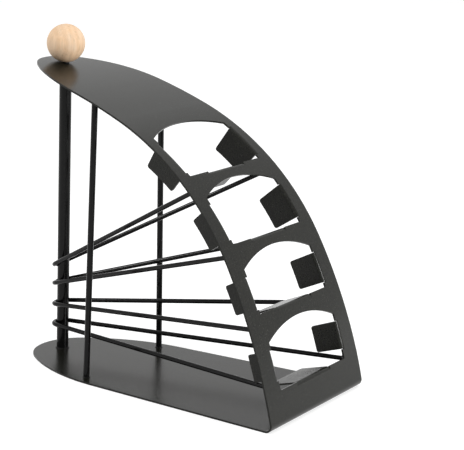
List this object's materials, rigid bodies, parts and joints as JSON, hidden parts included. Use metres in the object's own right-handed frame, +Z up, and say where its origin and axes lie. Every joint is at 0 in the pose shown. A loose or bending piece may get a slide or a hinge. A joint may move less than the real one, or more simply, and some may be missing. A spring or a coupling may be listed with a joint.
{
  "type": "remote control holder",
  "caption": "Free-standing holder for remote controls: a folded black steel sheet with arched windows, wire shelves and a wooden ball on top.",
  "frame": {"origin": "centre of the bounding box's bottom face, on the plane the base rests on", "axes": "+Z up; -Y is the front with the windows, +Y the back with the post; X is the width, and the part is symmetrical about the plane X = 0"},
  "size_m": [0.113, 0.2154, 0.2207],
  "materials": {
    "black_powder_coat": "satin, finely speckled powder coat on steel",
    "beech": "smooth turned pale wood with a thin clear oil"
  },
  "bodies": {
    "root": {"folded_sheet": "black_powder_coat", "back_post": "black_powder_coat", "side_rod_left": "black_powder_coat", "side_rod_right": "black_powder_coat", "shelf_wire_1": "black_powder_coat", "shelf_wire_2": "black_powder_coat", "shelf_wire_3": "black_powder_coat", "shelf_wire_4": "black_powder_coat", "wooden_ball": "beech"}
  },
  "joints": []
}
